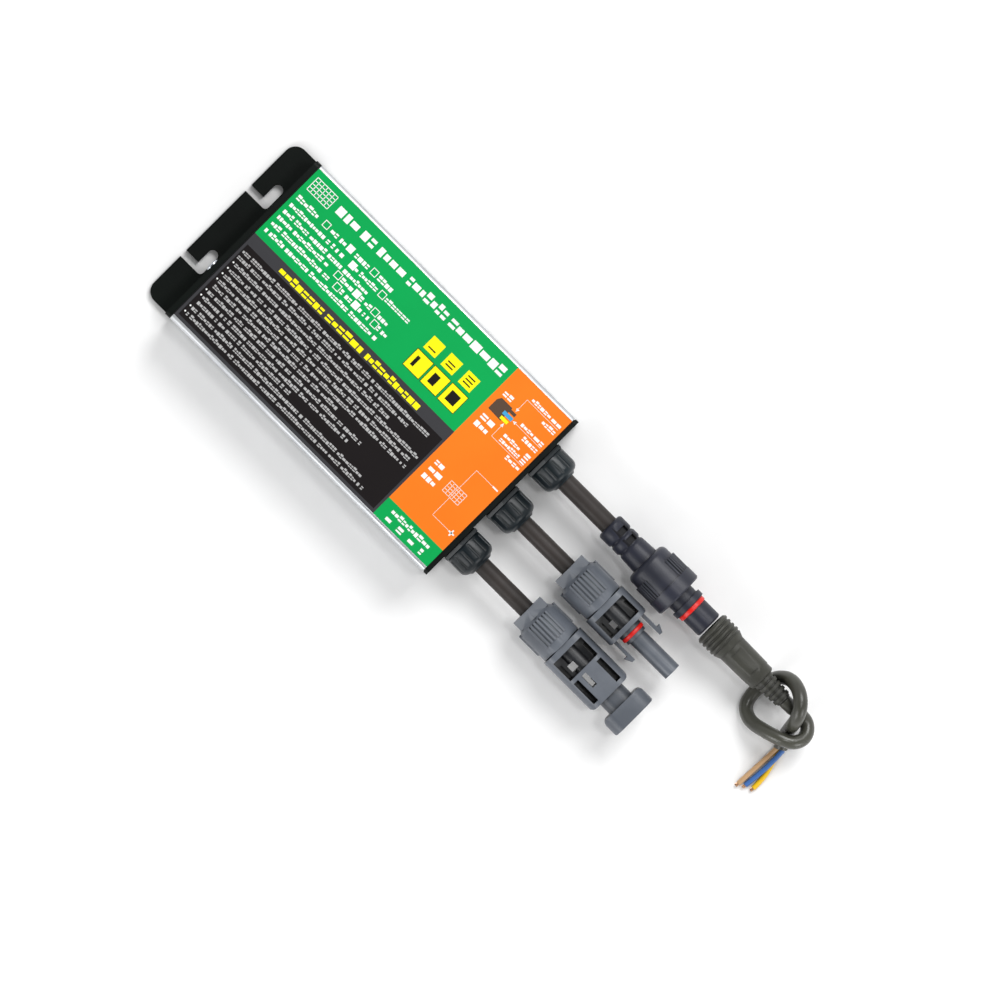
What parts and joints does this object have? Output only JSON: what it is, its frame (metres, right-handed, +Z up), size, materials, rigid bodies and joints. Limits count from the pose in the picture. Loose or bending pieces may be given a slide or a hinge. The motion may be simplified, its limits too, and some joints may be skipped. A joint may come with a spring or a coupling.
{
  "type": "micro inverter",
  "caption": "Flat finned-side inverter box with a hooked mounting flange, printed label, front cable glands, DC leads with latching connectors, and an AC lead with plug and knotted pigtail.",
  "frame": {"origin": "middle of the underside of the housing with its flange and glands", "axes": "+X from the mounting flange towards the leads, +Y across the housing towards the AC side, +Z up through the label"},
  "size_m": [0.2956, 0.08, 0.028],
  "materials": {
    "aluminium_housing": "satin anodised",
    "black_plate": "satin black",
    "seal_rubber": "matte",
    "black_screw": "black oxide",
    "bright_screw": "zinc plated",
    "label_print": "satin printed film",
    "board_green": "solder resist",
    "ferrite": "matte",
    "winding_copper": "enamelled",
    "capacitor_can": "sleeved",
    "component_case": "moulded",
    "heat_bar": "extruded",
    "terminal_plastic": "moulded",
    "gland_plastic": "satin moulded",
    "lead_sheath": "semi-gloss",
    "plug_plastic": "satin moulded",
    "red_seal": "satin",
    "contact_metal": "tin plated",
    "connector_grey": "satin moulded",
    "pigtail_plastic": "satin moulded",
    "pigtail_sheath": "semi-gloss",
    "wire_tan": "gloss",
    "wire_blue_print": "gloss",
    "wire_yellow_print": "gloss",
    "bare_copper": "bare strands"
  },
  "bodies": {
    "inverter": {"housing_extrusion": "aluminium_housing", "rear_end_plate": "black_plate", "front_end_plate": "black_plate", "rear_gasket": "seal_rubber", "front_gasket": "seal_rubber", "gland_washers": "seal_rubber", "gland_seals": "seal_rubber", "rear_screws": "black_screw", "front_screws": "black_screw", "ground_screw": "bright_screw", "ground_washer": "bright_screw", "label_film": "label_print", "circuit_board": "board_green", "transformer_core": "ferrite", "choke_ring": "ferrite", "transformer_winding": "winding_copper", "bulk_capacitors": "capacitor_can", "film_capacitor": "component_case", "relay": "component_case", "power_transistors": "component_case", "heat_spreader": "heat_bar", "terminal_block": "terminal_plastic", "ac_gland_body": "gland_plastic", "pv_minus_gland_body": "gland_plastic", "pv_plus_gland_body": "gland_plastic", "gland_locknuts": "gland_plastic", "ac_lead": "lead_sheath", "pv_minus_lead": "lead_sheath", "pv_plus_lead": "lead_sheath", "ac_plug_boot": "plug_plastic", "ac_plug_body": "plug_plastic", "ac_plug_o_ring": "red_seal", "pv_minus_o_ring": "red_seal", "ac_plug_contacts": "contact_metal", "pv_minus_contact": "contact_metal", "pv_plus_contact": "contact_metal", "pv_minus_body": "connector_grey", "pv_plus_body": "connector_grey", "pv_plus_head": "connector_grey"},
    "ac_gland_nut": {"ac_gland_nut": "gland_plastic"},
    "pv_minus_gland_nut": {"pv_minus_gland_nut": "gland_plastic"},
    "pv_plus_gland_nut": {"pv_plus_gland_nut": "gland_plastic"},
    "ac_slip_washer": {"ac_slip_washer": "plug_plastic"},
    "ac_coupling_nut": {"ac_coupling_nut": "plug_plastic"},
    "pv_minus_nut": {"pv_minus_nut": "connector_grey"},
    "pv_plus_nut": {"pv_plus_nut": "connector_grey"},
    "latch_left": {"pv_minus_latch_left": "connector_grey"},
    "latch_right": {"pv_minus_latch_right": "connector_grey"},
    "pigtail": {"pigtail_socket": "pigtail_plastic", "pigtail_grip": "pigtail_plastic", "pigtail_relief": "pigtail_plastic", "pigtail_contacts": "contact_metal", "pigtail_cord": "pigtail_sheath", "wire_brown": "wire_tan", "wire_blue": "wire_blue_print", "wire_yellow": "wire_yellow_print", "wire_strands": "bare_copper"}
  },
  "joints": [
    {"name": "ac_gland_nut_turn", "type": "hinge", "parent": "inverter", "child": "ac_gland_nut", "pos_m": [0.076, 0.021, 0.014], "axis": [1, 0, 0], "continuous": true},
    {"name": "pv_minus_gland_nut_turn", "type": "hinge", "parent": "inverter", "child": "pv_minus_gland_nut", "pos_m": [0.076, -0.001, 0.014], "axis": [1, 0, 0], "continuous": true},
    {"name": "pv_plus_gland_nut_turn", "type": "hinge", "parent": "inverter", "child": "pv_plus_gland_nut", "pos_m": [0.076, -0.023, 0.014], "axis": [1, 0, 0], "continuous": true},
    {"name": "ac_nut_slide", "type": "slide", "parent": "inverter", "child": "ac_slip_washer", "axis": [1, 0, 0], "range_m": [0, 0.0163]},
    {"name": "ac_nut_turn", "type": "hinge", "parent": "ac_slip_washer", "child": "ac_coupling_nut", "pos_m": [0.131, 0.021, 0.014], "axis": [1, 0, 0], "continuous": true},
    {"name": "pv_minus_nut_turn", "type": "hinge", "parent": "inverter", "child": "pv_minus_nut", "pos_m": [0.1135, -0.001, 0.014], "axis": [1, 0, 0], "continuous": true},
    {"name": "pv_plus_nut_turn", "type": "hinge", "parent": "inverter", "child": "pv_plus_nut", "pos_m": [0.1135, -0.023, 0.014], "axis": [1, 0, 0], "continuous": true},
    {"name": "latch_left_flex", "type": "hinge", "parent": "inverter", "child": "latch_left", "pos_m": [0.1343, 0.0062, 0.014], "axis": [0, 0, 1], "range_deg": [-6, 0], "stiffness_Nm_per_rad": 0.4},
    {"name": "latch_right_flex", "type": "hinge", "parent": "inverter", "child": "latch_right", "pos_m": [0.1343, -0.0082, 0.014], "axis": [0, 0, -1], "range_deg": [-6, 0], "stiffness_Nm_per_rad": 0.4},
    {"name": "pigtail_slide", "type": "slide", "parent": "inverter", "child": "pigtail", "axis": [1, 0, 0], "range_m": [-0.0089, 0.02]}
  ]
}
